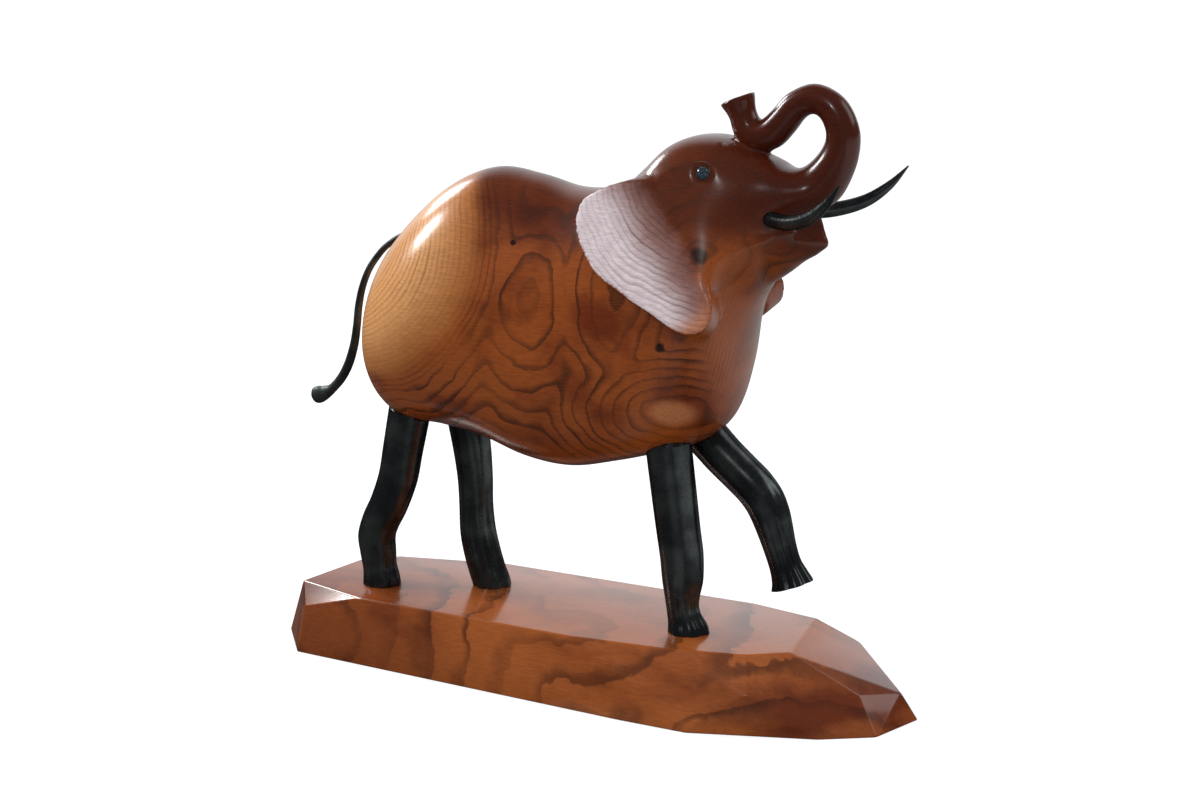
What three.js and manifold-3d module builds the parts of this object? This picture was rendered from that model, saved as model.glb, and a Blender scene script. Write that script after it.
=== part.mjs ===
// A carved wooden elephant with raised trunk, standing on a faceted wooden base.
// Its legs, tusks and tail are dark patinated metal and its eyes are polished beads.
// Millimetres, +Z up, +X forward. The origin is on the base's underside, below the elephant's middle.
import * as THREE from "three";
import { ConvexGeometry } from "three/addons/geometries/ConvexGeometry.js";
import { mergeVertices } from "three/addons/utils/BufferGeometryUtils.js";
import Module from "manifold-3d";

const wasm = await Module();
wasm.setup();

// Driving dimensions
const figureHeight = 318; // from the soles to the top of the trunk's loop
const baseHeight = 42;
const baseBehindHeel = 60; // how far the base runs on behind the rear foot
const baseBeforeToe = 117; // and in front of the standing front foot
const baseBesideFeet = 45; // and past the feet on either side
const eyeDiameter = 8;
const earThickness = 20; // from the ear's flat face inwards, most of it inside the head
const toeGroove = 1.1; // depth of the grooves between the toes
const jointGap = 0.3; // between a piece and the wood it meets

// The figure is drawn on a lines plan in units of its own, and the plan is fitted to figureHeight
const planUnits = 318; // from the soles to the top of the loop
const plan = figureHeight / planUnits;

// Cross-sections of the body from the rump to the cheeks. Each has its dorsal and ventral point, half its
// width, and how high it is widest, from 0 below to 1 above. upper and lower say how square each half is:
// 2 is an ellipse, and more is squarer.
const bodySections = [
  { top: [-137, 160], under: [-137, 160], half: 0, widest: 0.5, upper: 2, lower: 2 },
  { top: [-135, 184], under: [-135.5, 136], half: 25, widest: 0.48, upper: 2, lower: 2 },
  { top: [-126.5, 208], under: [-129, 117], half: 40, widest: 0.46, upper: 2, lower: 2 },
  { top: [-109, 230], under: [-113, 106], half: 52, widest: 0.45, upper: 2, lower: 2 },
  { top: [-83, 252], under: [-88, 104.5], half: 58, widest: 0.43, upper: 2, lower: 2 },
  { top: [-56, 262.5], under: [-58, 100], half: 58, widest: 0.42, upper: 2, lower: 2.1 },
  { top: [-28, 259.5], under: [-29, 91], half: 55, widest: 0.42, upper: 2, lower: 2.2 },
  { top: [-4, 253.5], under: [0, 89], half: 54, widest: 0.42, upper: 2.2, lower: 2.4 },
  { top: [18, 254], under: [28, 95], half: 53, widest: 0.43, upper: 2.4, lower: 2.6 },
  { top: [34, 258.5], under: [53, 102], half: 52, widest: 0.44, upper: 2.6, lower: 2.7 },
  { top: [47.5, 269.5], under: [75, 109], half: 51, widest: 0.45, upper: 2.7, lower: 2.7 },
  { top: [59.5, 280.5], under: [93, 123], half: 49, widest: 0.46, upper: 2.8, lower: 2.6 },
  { top: [71, 286], under: [103, 147], half: 45, widest: 0.47, upper: 2.8, lower: 2.5 },
  { top: [82, 287.5], under: [107, 172], half: 41, widest: 0.48, upper: 2.8, lower: 2.4 },
  { top: [92, 286.5], under: [112, 192], half: 36, widest: 0.5, upper: 2.8, lower: 2.4 },
  { top: [103, 282], under: [120, 207], half: 31, widest: 0.5, upper: 2.7, lower: 2.4 },
  { top: [113, 278.5], under: [127, 221], half: 26, widest: 0.5, upper: 2.5, lower: 2.4 },
  { top: [122, 275], under: [134, 236], half: 22, widest: 0.5, upper: 2.4, lower: 2.3 },
  { top: [129, 271.5], under: [145, 246], half: 18, widest: 0.5, upper: 2.2, lower: 2.2 },
];

// Centre line and radius of the trunk, from its root round the loop to its flared mouth
const trunkCentres = [
  { at: [147, 262.5], radius: 13.6 },
  { at: [154.5, 271], radius: 11.8 },
  { at: [159.5, 282], radius: 10.2 },
  { at: [160, 293], radius: 9.3 },
  { at: [154, 304.5], radius: 8.7 },
  { at: [143.5, 309.5], radius: 8.4 },
  { at: [133, 305.5], radius: 8.4 },
  { at: [125.5, 297], radius: 8.8 },
  { at: [118, 289.8], radius: 9.2 },
  { at: [109.5, 287.4], radius: 9.2 },
  { at: [103.5, 292], radius: 8.4 },
  { at: [100.2, 300.2], radius: 8 },
  { at: [97, 308.2], radius: 10.6 },
];

// Lower jaw, from inside the throat to the lip. Each section is widest at the lip's edge, and the mouth's
// hollow is above it, under the trunk.
const jawSections = [
  { top: [100, 250], under: [104, 200], half: 20, widest: 0.72, upper: 1.3, lower: 2 },
  { top: [118, 250], under: [119, 205], half: 22, widest: 0.7, upper: 1.2, lower: 2 },
  { top: [130, 250], under: [130, 212], half: 19, widest: 0.6, upper: 1.1, lower: 2 },
  { top: [140, 250], under: [139, 219], half: 13, widest: 0.44, upper: 1.1, lower: 2 },
  { top: [147, 249], under: [146, 223], half: 8, widest: 0.3, upper: 1.1, lower: 2 },
  { top: [149.6, 242], under: [149, 225.3], half: 5.4, widest: 0.32, upper: 1.1, lower: 2 },
  { top: [151.2, 236], under: [151.2, 226.8], half: 3.5, widest: 0.38, upper: 1.3, lower: 2 },
  { top: [153.4, 230.6], under: [153.2, 228], half: 1.5, widest: 0.5, upper: 2, lower: 2 },
];

// Outline of the right ear in its own flat plane: distance towards the lobe, and distance up and forward.
// The plane runs on over the cheek to the eye.
const earCentre = [62, -52, 218];
const earTowardsLobe = [77, -5, -54];
const earTowardsHead = [42, 12, 19];
const earOutline = [
  [-37, 28],
  [-46, 20.5],
  [-51, 9],
  [-49, -1],
  [-42, -9],
  [-30, -15.5],
  [-16, -19.3],
  [-4, -18.8],
  [10, -17.5],
  [24, -15.6],
  [36, -14.4],
  [45, -11.5],
  [51, -5.5],
  [51.5, 2],
  [46, 11],
  [37, 17],
  [28, 26],
  [14, 38],
  [-6, 44],
  [-26, 40],
];
const cheekPlane = { lobe: [-60, 40], head: [-10, 76] };

// Centre line, radius and toe grooves of each leg, from inside the belly down to the sole
const legs = {
  leg_rear_right: {
    side: -13,
    standing: true,
    centres: [
      { at: [-109, 128], radius: 13, groove: 0 },
      { at: [-113.5, 106], radius: 12.8, groove: 0 },
      { at: [-117.6, 87], radius: 12.4, groove: 0 },
      { at: [-121.5, 69], radius: 12.2, groove: 0 },
      { at: [-128.2, 52], radius: 11.9, groove: 0 },
      { at: [-134.5, 40], radius: 11.7, groove: 0 },
      { at: [-137.6, 30], radius: 11.8, groove: 0.2 },
      { at: [-136.8, 20], radius: 11.3, groove: 0.5 },
      { at: [-135.8, 11], radius: 10.7, groove: 0.8 },
      { at: [-134.8, 4], radius: 11.5, groove: 1 },
      { at: [-134.4, -3], radius: 12.2, groove: 1 },
    ],
  },
  leg_rear_left: {
    side: 16,
    standing: true,
    centres: [
      { at: [-93, 126], radius: 13, groove: 0 },
      { at: [-88.5, 103], radius: 12.4, groove: 0 },
      { at: [-85.3, 84], radius: 11.7, groove: 0 },
      { at: [-83.4, 66], radius: 11, groove: 0 },
      { at: [-82.9, 50], radius: 10.7, groove: 0.2 },
      { at: [-81.8, 34], radius: 11.3, groove: 0.6 },
      { at: [-79.2, 21.6], radius: 11.6, groove: 0.9 },
      { at: [-75.4, 9.2], radius: 11.6, groove: 1 },
      { at: [-72.6, 2], radius: 11.8, groove: 1 },
      { at: [-71.4, -3], radius: 12, groove: 1 },
    ],
  },
  leg_front_right: {
    side: -16,
    standing: true,
    centres: [
      { at: [61, 130], radius: 13.6, groove: 0 },
      { at: [63.5, 110], radius: 13.4, groove: 0 },
      { at: [67, 84], radius: 13.2, groove: 0 },
      { at: [70.3, 60], radius: 12.9, groove: 0 },
      { at: [72.6, 45], radius: 12.8, groove: 0.1 },
      { at: [73.4, 31], radius: 12.2, groove: 0.3 },
      { at: [73.2, 21.4], radius: 10.6, groove: 0.5 },
      { at: [73.6, 14], radius: 9.8, groove: 0.8 },
      { at: [74.9, 7.2], radius: 10.2, groove: 1 },
      { at: [76.6, 1.5], radius: 12, groove: 1 },
      { at: [77.6, -3], radius: 12.8, groove: 1 },
    ],
  },
  leg_front_left: {
    side: 14,
    standing: false,
    centres: [
      { at: [62, 121], radius: 13, groove: 0 },
      { at: [75.6, 108.4], radius: 12.6, groove: 0 },
      { at: [85.2, 99.4], radius: 12.4, groove: 0 },
      { at: [95.8, 90.6], radius: 12.2, groove: 0 },
      { at: [104.6, 83.2], radius: 12.2, groove: 0 },
      { at: [111, 76], radius: 12.2, groove: 0.2 },
      { at: [115.2, 68], radius: 11.8, groove: 0.5 },
      { at: [118.2, 59.5], radius: 11, groove: 0.8 },
      { at: [121.5, 49], radius: 10, groove: 0.9 },
      { at: [125, 39], radius: 9.8, groove: 1 },
      { at: [128, 32], radius: 11.2, groove: 1 },
      { at: [129.8, 26.8], radius: 13, groove: 1 },
    ],
  },
};

// Right tusk, from inside the cheek to its point, and the tail from inside the rump to its knob
const tuskPath = [
  [116, -12, 247],
  [124.2, -19.2, 244.8],
  [141, -31, 244.5],
  [157.5, -41, 249],
  [170, -48, 258],
  [179.5, -53.6, 269.3],
];
const tuskRadii = [4.4, 4.4, 4.3, 3.7, 2.5, 0.4];
const tailPath = [
  [-110, 0, 221],
  [-123.5, 0, 217],
  [-134.4, 0, 210.2],
  [-141, 0, 203.7],
  [-147.8, 0, 194.6],
  [-152.9, 0, 183.2],
  [-155.9, 0, 171],
  [-157.5, 0, 159],
  [-159.8, 0, 146.8],
  [-164.1, 0, 134.4],
  [-169.7, 0, 124.8],
  [-176.5, 0, 117.6],
  [-181.8, 0, 114.4],
  [-186.4, 0, 112.6],
  [-190.2, 0, 111.6],
  [-192.3, 0, 111.1],
];
const tailRadii = [1.8, 1.8, 1.9, 2, 2.1, 2.2, 2.4, 2.5, 2.7, 2.9, 2.9, 3, 4.4, 5.5, 4.6, 1.6];

const eyeCentre = [90.4, -30.5, 268.8];

// Where the trunk's bend rests on the forehead
const contactCentre = [110.5, 0, 279];
const contactRadii = [6, 5, 3];

// Corners of the hand-cut base: along and across on a plan of its own, and up as a share of its height
const baseCorners = [
  [-182, -30, 1],
  [-128, -47, 1],
  [20, -55, 1],
  [79, -51, 1],
  [124, -41, 1],
  [145, -26, 1],
  [134, 42, 1],
  [89, 53, 1],
  [-88, 61, 1],
  [-157, 45, 1],
  [-176, 25, 1],
  [-172, -44, 0.71],
  [132, -55, 0.5],
  [160, 44, 0.74],
  [184, -18, 0.48],
  [200, 8, 0.38],
  [-178, -45, 0],
  [-42, -50, 0],
  [57, -66, 0],
  [103, -68, 0],
  [160, -51, 0],
  [198, -26, 0],
  [209, 12, 0],
  [188, 46, 0],
  [130, 64, 0],
  [-90, 73, 0],
  [-168, 60, 0],
  [-200, 38, 0],
  [-208, -8, 0],
];
const basePlan = { rear: 208, front: 209, side: 73 };

// The standing feet reach this far on the figure's plan
const stance = { heel: 148, toe: 92, side: 28 };

const bodySides = 32;
const bodySteps = 2; // rings from one section of the plan to the next
const legSides = 24;
const rodSides = 10;
const rodSteps = 2;
const outlineSteps = 2;
const ballSides = 14;
const ballRings = 9;
const toesRound = 8;
const weldDistance = 1e-4;

const bodyWood = new THREE.MeshStandardMaterial({ color: 0x7a3a18, roughness: 0.3, metalness: 0 });
const baseWood = new THREE.MeshStandardMaterial({ color: 0x7d4424, roughness: 0.4, metalness: 0 });
const darkMetal = new THREE.MeshStandardMaterial({ color: 0x24272a, roughness: 0.4, metalness: 0.9 });
const beadGlass = new THREE.MeshStandardMaterial({ color: 0x101820, roughness: 0.05, metalness: 0.2 });

const onPlan = (point) => new THREE.Vector3(...point).multiplyScalar(plan);
const mirrored = ([x, y, z]) => [x, -y, z];

function solid(geometry) {
  const bare = geometry.clone();
  bare.deleteAttribute("normal");
  bare.deleteAttribute("uv");
  const merged = mergeVertices(bare, weldDistance);
  return new wasm.Manifold(
    new wasm.Mesh({
      numProp: 3,
      vertProperties: new Float32Array(merged.attributes.position.array),
      triVerts: new Uint32Array(merged.index.array),
    }),
  );
}

function geometryOf(body) {
  const mesh = body.getMesh();
  const geometry = new THREE.BufferGeometry();
  geometry.setAttribute("position", new THREE.BufferAttribute(mesh.vertProperties, 3));
  geometry.setIndex(new THREE.BufferAttribute(mesh.triVerts, 1));
  geometry.computeVertexNormals();
  return geometry;
}

// Rings of equally many points become one closed surface with flat ends
function closedLoft(rings) {
  const sides = rings[0].length;
  const faces = [];
  const at = (i, k) => i * sides + (k % sides);
  for (let i = 1; i < rings.length; i++)
    for (let k = 0; k < sides; k++) {
      faces.push(at(i - 1, k), at(i - 1, k + 1), at(i, k + 1));
      faces.push(at(i - 1, k), at(i, k + 1), at(i, k));
    }
  const last = rings.length - 1;
  for (let k = 1; k < sides - 1; k++) {
    faces.push(at(last, 0), at(last, k), at(last, k + 1));
    faces.push(at(0, 0), at(0, k + 1), at(0, k));
  }
  const geometry = new THREE.BufferGeometry();
  const positions = rings.flat().flatMap((p) => [p.x, p.y, p.z]);
  geometry.setAttribute("position", new THREE.Float32BufferAttribute(positions, 3));
  geometry.setIndex(faces);
  return geometry;
}

// Point of a section at an angle: 0 is its top or front, and the right side comes next
function sectionPoint(section, angle, grow) {
  const top = new THREE.Vector2(...section.top);
  const under = new THREE.Vector2(...section.under);
  const rise = top.clone().sub(under);
  const height = rise.length();
  const up = height > 0 ? rise.clone().divideScalar(height) : new THREE.Vector2(0, 1);
  const centre = under.clone().addScaledVector(rise, section.widest);
  const c = Math.cos(angle);
  const s = Math.sin(angle);
  const power = 2 / (c > 0 ? section.upper : section.lower);
  const reach = c > 0 ? height * (1 - section.widest) : height * section.widest;
  const frontness = (1 + c) / 2;
  const bite = ((section.groove ?? 0) * toeGroove * frontness * (1 - Math.cos(toesRound * angle))) / 2;
  const lift = Math.sign(c) * Math.abs(c) ** power * (reach - bite);
  const across = -Math.sign(s) * Math.abs(s) ** power * (section.half - bite);
  const point = onPlan([centre.x + up.x * lift, across + (section.side ?? 0), centre.y + up.y * lift]);
  if (grow && height > 0) {
    point.x += up.x * c * grow;
    point.y -= s * grow;
    point.z += up.y * c * grow;
  }
  return point;
}

function sectionRings(sections, sides, grow = 0) {
  return sections.map((section) =>
    Array.from({ length: sides }, (_, k) => sectionPoint(section, (2 * Math.PI * k) / sides, grow)),
  );
}

// Sections square to a centre line in the side view, with their top or front on the left of its run
function sectionsAlong(centres, side = 0) {
  const curve = new THREE.CatmullRomCurve3(
    centres.map(({ at }) => new THREE.Vector3(at[0], 0, at[1])),
    false,
    "centripetal",
  );
  return centres.map(({ at, radius, groove = 0 }, i) => {
    const along = curve.getTangent(i / (centres.length - 1));
    return {
      top: [at[0] - along.z * radius, at[1] + along.x * radius],
      under: [at[0] + along.z * radius, at[1] - along.x * radius],
      half: radius,
      widest: 0.5,
      upper: 2,
      lower: 2,
      side,
      groove,
    };
  });
}

const catmull = (a, b, c, d, t) =>
  0.5 * (2 * b + (c - a) * t + (2 * a - 5 * b + 4 * c - d) * t * t + (3 * b - a - 3 * c + d) * t ** 3);

// Section between the second and third of four stations
function blend(four, t) {
  const mix = (pick) => catmull(...four.map(pick), t);
  return {
    top: [mix((s) => s.top[0]), mix((s) => s.top[1])],
    under: [mix((s) => s.under[0]), mix((s) => s.under[1])],
    half: mix((s) => s.half),
    widest: mix((s) => s.widest),
    upper: mix((s) => s.upper),
    lower: mix((s) => s.lower),
    side: four[1].side,
    groove: mix((s) => s.groove ?? 0),
  };
}

function smoothSections(stations, steps, before = stations[0]) {
  const last = stations.length - 1;
  const sections = [];
  for (let i = 0; i < last; i++) {
    const four = [stations[i - 1] ?? before, stations[i], stations[i + 1], stations[Math.min(i + 2, last)]];
    for (let k = 0; k < steps; k++) sections.push(blend(four, k / steps));
  }
  sections.push(stations[last]);
  return sections;
}

// Round rod along a path, with a radius at each of its points
function rodSolid(path, radii) {
  const curve = new THREE.CatmullRomCurve3(path.map(onPlan), false, "centripetal");
  const steps = (path.length - 1) * rodSteps;
  const { normals, binormals } = curve.computeFrenetFrames(steps);
  const rings = [];
  for (let i = 0; i <= steps; i++) {
    const t = i / steps;
    const span = Math.min(Math.floor(t * (path.length - 1)), path.length - 2);
    const part = t * (path.length - 1) - span;
    const radius = plan * THREE.MathUtils.lerp(radii[span], radii[span + 1], part);
    const centre = curve.getPoint(t);
    rings.push(
      Array.from({ length: rodSides }, (_, k) => {
        const angle = (2 * Math.PI * k) / rodSides;
        return centre
          .clone()
          .addScaledVector(normals[i], Math.cos(angle) * radius)
          .addScaledVector(binormals[i], Math.sin(angle) * radius);
      }),
    );
  }
  return solid(closedLoft(rings));
}

function bodySolid(grow) {
  // The rump closes in a pole, so the row of sections goes on upside down behind it
  const [, second] = bodySections;
  const behind = { ...second, top: second.under, under: second.top, half: -second.half };
  const stations = [...bodySections, ...sectionsAlong(trunkCentres)];
  const torso = solid(closedLoft(sectionRings(smoothSections(stations, bodySteps, behind), bodySides, grow)));
  const jaw = solid(closedLoft(sectionRings(smoothSections(jawSections, bodySteps), legSides, grow)));
  return torso.add(jaw);
}

// Turns a geometry drawn in the ear's plane to its place on the right of the head
function inEarPlane(geometry) {
  const lobe = new THREE.Vector3(...earTowardsLobe).normalize();
  const outward = lobe.clone().cross(new THREE.Vector3(...earTowardsHead)).normalize();
  const head = outward.clone().cross(lobe);
  const place = new THREE.Matrix4().makeBasis(lobe, head, outward).setPosition(onPlan(earCentre));
  return solid(geometry.applyMatrix4(place));
}

function earSolid() {
  const curve = new THREE.SplineCurve(earOutline.map(([x, y]) => new THREE.Vector2(x, y)));
  const outline = new THREE.Shape(curve.getPoints(earOutline.length * outlineSteps));
  const slab = new THREE.ExtrudeGeometry(outline, { depth: earThickness, bevelEnabled: false });
  slab.applyMatrix4(new THREE.Matrix4().makeScale(plan, plan, 1));
  slab.applyMatrix4(new THREE.Matrix4().makeTranslation(0, 0, -earThickness));
  return inEarPlane(slab);
}

// What is planed off the cheek to carry on the ear's plane
function cheekCut() {
  const { lobe, head } = cheekPlane;
  const size = [lobe[1] - lobe[0], head[1] - head[0], earThickness / plan].map((side) => side * plan);
  const middle = [(lobe[0] + lobe[1]) / 2, (head[0] + head[1]) / 2].map((along) => along * plan);
  return inEarPlane(new THREE.BoxGeometry(...size).translate(...middle, earThickness / 2));
}

function ballSolid(centre, radius) {
  const ball = new THREE.SphereGeometry(radius, ballSides, ballRings);
  return solid(ball).translate([centre.x, centre.y, centre.z]);
}

function contactSolid() {
  const pad = new THREE.SphereGeometry(1, ballSides, ballRings).scale(...contactRadii.map((r) => r * plan));
  const centre = onPlan(contactCentre);
  return solid(pad).translate([centre.x, centre.y, centre.z]);
}

const eyeSeats = { eye_right: onPlan(eyeCentre), eye_left: onPlan(mirrored(eyeCentre)) };
const body = bodySolid(0);
const bodyWithGap = bodySolid(jointGap);

function carvedBody() {
  const acrossMiddle = [0, 1, 0];
  let carving = body.subtract(cheekCut()).subtract(cheekCut().mirror(acrossMiddle));
  carving = carving.add(earSolid()).add(earSolid().mirror(acrossMiddle)).add(contactSolid());
  for (const seat of Object.values(eyeSeats))
    carving = carving.subtract(ballSolid(seat, eyeDiameter / 2 + jointGap));
  return carving;
}

// A leg meets the belly at the gap, and a standing one is cut flat by the ground
function legSolid({ side, standing, centres }) {
  const leg = solid(closedLoft(sectionRings(sectionsAlong(centres, side), legSides))).subtract(bodyWithGap);
  if (!standing) return leg;
  const ground = new THREE.BoxGeometry(figureHeight, figureHeight, figureHeight);
  return leg.subtract(solid(ground).translate([centres.at(-1).at[0] * plan, 0, -figureHeight / 2]));
}

// Corner of the base, stretched from the plan to where the feet stand
function basePoint([x, y, level]) {
  const behind = (stance.heel * plan + baseBehindHeel) / basePlan.rear;
  const before = (stance.toe * plan + baseBeforeToe) / basePlan.front;
  const beside = (stance.side * plan + baseBesideFeet) / basePlan.side;
  return new THREE.Vector3(x * (x < 0 ? behind : before), y * beside, level * baseHeight);
}

const group = new THREE.Group();
const figure = new THREE.Group();
figure.position.z = baseHeight + jointGap;
group.add(figure);

function addPiece(parent, name, shape, material) {
  const mesh = new THREE.Mesh(geometryOf(shape), material);
  mesh.name = name;
  parent.add(mesh);
}

addPiece(group, "base", solid(new ConvexGeometry(baseCorners.map(basePoint))), baseWood);
addPiece(figure, "carved_body", carvedBody(), bodyWood);
for (const [name, leg] of Object.entries(legs)) addPiece(figure, name, legSolid(leg), darkMetal);

const tusks = { tusk_right: tuskPath, tusk_left: tuskPath.map(mirrored) };
for (const [name, path] of Object.entries(tusks))
  addPiece(figure, name, rodSolid(path, tuskRadii).subtract(bodyWithGap), darkMetal);
addPiece(figure, "tail", rodSolid(tailPath, tailRadii).subtract(bodyWithGap), darkMetal);

for (const [name, seat] of Object.entries(eyeSeats))
  addPiece(figure, name, ballSolid(seat, eyeDiameter / 2), beadGlass);

export default group;
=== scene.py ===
# A carved wooden elephant with a raised, looped trunk, walking on a hand-cut wooden base.
# Legs, tusks and tail are blackened metal and the eyes are polished beads.
# The frame is in metres. The lines plans below are in millimetres, with z from the elephant's soles.
import math

import bmesh
import bpy
import numpy as np
from mathutils import Matrix, Vector


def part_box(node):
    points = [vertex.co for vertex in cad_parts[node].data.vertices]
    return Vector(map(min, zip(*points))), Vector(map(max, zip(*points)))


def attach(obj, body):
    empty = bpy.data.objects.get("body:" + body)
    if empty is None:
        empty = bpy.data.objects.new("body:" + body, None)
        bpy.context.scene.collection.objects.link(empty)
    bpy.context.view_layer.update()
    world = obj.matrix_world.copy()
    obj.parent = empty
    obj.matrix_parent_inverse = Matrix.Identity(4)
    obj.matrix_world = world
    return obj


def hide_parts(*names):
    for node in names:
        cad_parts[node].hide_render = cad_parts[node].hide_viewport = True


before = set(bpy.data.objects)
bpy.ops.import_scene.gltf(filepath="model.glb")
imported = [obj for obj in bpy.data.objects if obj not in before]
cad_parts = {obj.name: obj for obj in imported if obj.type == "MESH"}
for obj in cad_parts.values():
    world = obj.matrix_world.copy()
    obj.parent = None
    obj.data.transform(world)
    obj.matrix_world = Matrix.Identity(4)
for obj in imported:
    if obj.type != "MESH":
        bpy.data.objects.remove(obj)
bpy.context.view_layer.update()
scene = bpy.context.scene
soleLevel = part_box("leg_front_right")[0].z
mm = 0.001
print("frame loaded, soles at", round(soleLevel / mm, 1), "mm")


def linked(name, data):
    piece = bpy.data.objects.new(name, data)
    scene.collection.objects.link(piece)
    return piece


# Camera at the photograph's angle

photoView = {"azimuth": 27, "elevation": 12, "distance": 1.4, "lens": 70, "target": (0, 0.022, 0.165)}


def addCamera(settings):
    azimuth = math.radians(settings["azimuth"])
    elevation = math.radians(settings["elevation"])
    back = Vector(
        (
            math.sin(azimuth) * math.cos(elevation),
            -math.cos(azimuth) * math.cos(elevation),
            math.sin(elevation),
        )
    )
    data = bpy.data.cameras.new("camera")
    data.lens = settings["lens"]
    camera = linked("camera", data)
    camera.location = Vector(settings["target"]) + back * settings["distance"]
    camera.rotation_euler = (-back).to_track_quat("-Z", "Y").to_euler()
    scene.camera = camera


addCamera(photoView)


# Mesh helpers

def newObject(name, verts, faces):
    mesh = bpy.data.meshes.new(name)
    mesh.from_pydata([tuple(v) for v in verts], [], faces)
    mesh.update()
    return linked(name, mesh)


def fromBmesh(name, bm):
    mesh = bpy.data.meshes.new(name)
    bm.to_mesh(mesh)
    bm.free()
    return linked(name, mesh)


def smoothShade(piece):
    piece.data.polygons.foreach_set("use_smooth", [True] * len(piece.data.polygons))


def bake(piece):
    mesh = bpy.data.meshes.new_from_object(piece.evaluated_get(bpy.context.evaluated_depsgraph_get()))
    piece.modifiers.clear()
    old = piece.data
    piece.data = mesh
    bpy.data.meshes.remove(old)


def inRow(points):
    points = np.asarray(points, float) * mm
    points[..., 2] += soleLevel
    return points


# Lofts: rows of sections, each with a top and an under point in the side view

def catmull(a, b, c, d, t):
    return 0.5 * (2 * b + (c - a) * t + (2 * a - 5 * b + 4 * c - d) * t**2 + (3 * b - a - 3 * c + d) * t**3)


def smoothRows(rows, steps, before=None):
    rows = np.array(rows, float)
    padded = np.vstack([rows[0] if before is None else before, rows, rows[-1]])
    out = []
    for i in range(len(rows) - 1):
        for k in range(steps):
            out.append(catmull(*padded[i : i + 4], k / steps))
    out.append(rows[-1])
    return np.array(out)


def ringPoints(row, sides, toeDepth=0.0, toes=7):
    topX, topZ, underX, underZ, half, widest, upper, lower, side, groove = row
    angle = np.arange(sides) * 2 * math.pi / sides
    c, s = np.cos(angle), np.sin(angle)
    rise = np.array([topX - underX, topZ - underZ])
    height = np.linalg.norm(rise)
    up = rise / height if height > 1e-9 else np.array([0.0, 1.0])
    centre = np.array([underX, underZ]) + rise * widest
    power = np.where(c > 0, 2 / upper, 2 / lower)
    reach = np.where(c > 0, height * (1 - widest), height * widest)
    bite = groove * toeDepth * (1 + c) / 2 * np.sin(toes * angle / 2) ** 4
    lift = np.sign(c) * np.abs(c) ** power * (reach - bite)
    across = -np.sign(s) * np.abs(s) ** power * (half - bite)
    return np.stack([centre[0] + up[0] * lift, side + across, centre[1] + up[1] * lift], 1)


def loftFaces(rings, sides):
    faces = []
    for i in range(1, rings):
        for k in range(sides):
            n = (k + 1) % sides
            faces.append(((i - 1) * sides + k, (i - 1) * sides + n, i * sides + n, i * sides + k))
    faces.append(tuple(range(sides - 1, -1, -1)))
    faces.append(tuple((rings - 1) * sides + k for k in range(sides)))
    return faces


def loft(name, rows, sides, toeDepth=0.0):
    verts = np.concatenate([ringPoints(row, sides, toeDepth) for row in rows])
    return newObject(name, inRow(verts), loftFaces(len(rows), sides))


def rowsAlong(centres, side=0.0):
    centres = np.array(centres, float)
    along = np.gradient(centres[:, :2], axis=0)
    along /= np.linalg.norm(along, axis=1)[:, None]
    x, z, r, groove = centres.T
    top = np.stack([x - along[:, 1] * r, z + along[:, 0] * r])
    under = np.stack([x + along[:, 1] * r, z - along[:, 0] * r])
    same = np.ones(len(centres))
    return np.stack([*top, *under, r, same * 0.5, same * 2, same * 2, same * side, groove], 1)


# Carved body

bodyLook = {
    "sides": 144,
    "jawSides": 96,
    "steps": 8,
    "cutterSides": 72,
    "cutterSteps": 3,
    "voxel": 1.41 * mm,
    "smoothing": 4,
    "smoothWeight": 0.5,
    "seamWeight": 0.6,
    "seamRounds": 10,
    "cheekRounds": 88,
}

# dorsal x, z, ventral x, z, half width, widest at, squareness above and below
bodyRows = [
    (-137, 160, -137, 160, 0, 0.5, 2, 2),
    (-135, 184, -135.5, 136, 25, 0.48, 2, 2),
    (-126.5, 208, -129, 117, 40, 0.46, 2, 2),
    (-109, 230, -113, 106, 52, 0.45, 2, 2),
    (-83, 252, -88, 104.5, 58, 0.43, 2, 2),
    (-56, 262.5, -58, 100, 58, 0.42, 2, 2.1),
    (-28, 259.5, -29, 91, 55, 0.42, 2, 2.2),
    (-4, 253.5, 0, 89, 54, 0.42, 2.2, 2.4),
    (18, 254, 28, 95, 53, 0.43, 2.4, 2.6),
    (34, 258.5, 53, 102, 52, 0.44, 2.6, 2.7),
    (47.5, 269.5, 75, 109, 51, 0.45, 2.7, 2.45),
    (59.5, 280.5, 93, 123, 49, 0.46, 2.8, 2.2),
    (71, 286, 102, 147, 45, 0.47, 2.8, 2.1),
    (82, 287.5, 106, 172, 41, 0.48, 2.8, 2.05),
    (92, 286.5, 111.5, 192, 36, 0.5, 2.8, 2.2),
    (103, 282, 120, 207, 31, 0.5, 2.7, 2.4),
    (113, 278.5, 127, 221, 26, 0.5, 2.5, 2.4),
    (122, 275, 134, 236, 22, 0.5, 2.4, 2.3),
    (129, 271.5, 145, 246, 18, 0.5, 2.2, 2.2),
]

# centre x, z, radius
trunkCentres = [
    (147, 262.5, 13.6),
    (154.5, 271, 11.8),
    (159.5, 282, 10.2),
    (160, 293, 9.3),
    (154, 304.5, 8.7),
    (143.5, 309.5, 8.4),
    (133, 305.5, 8.4),
    (125.5, 297, 8.8),
    (118, 289.8, 9.2),
    (109.5, 287.4, 9.2),
    (103.5, 292, 8.4),
    (100.2, 300.2, 8),
    (97, 308.2, 10.6),
]

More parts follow.
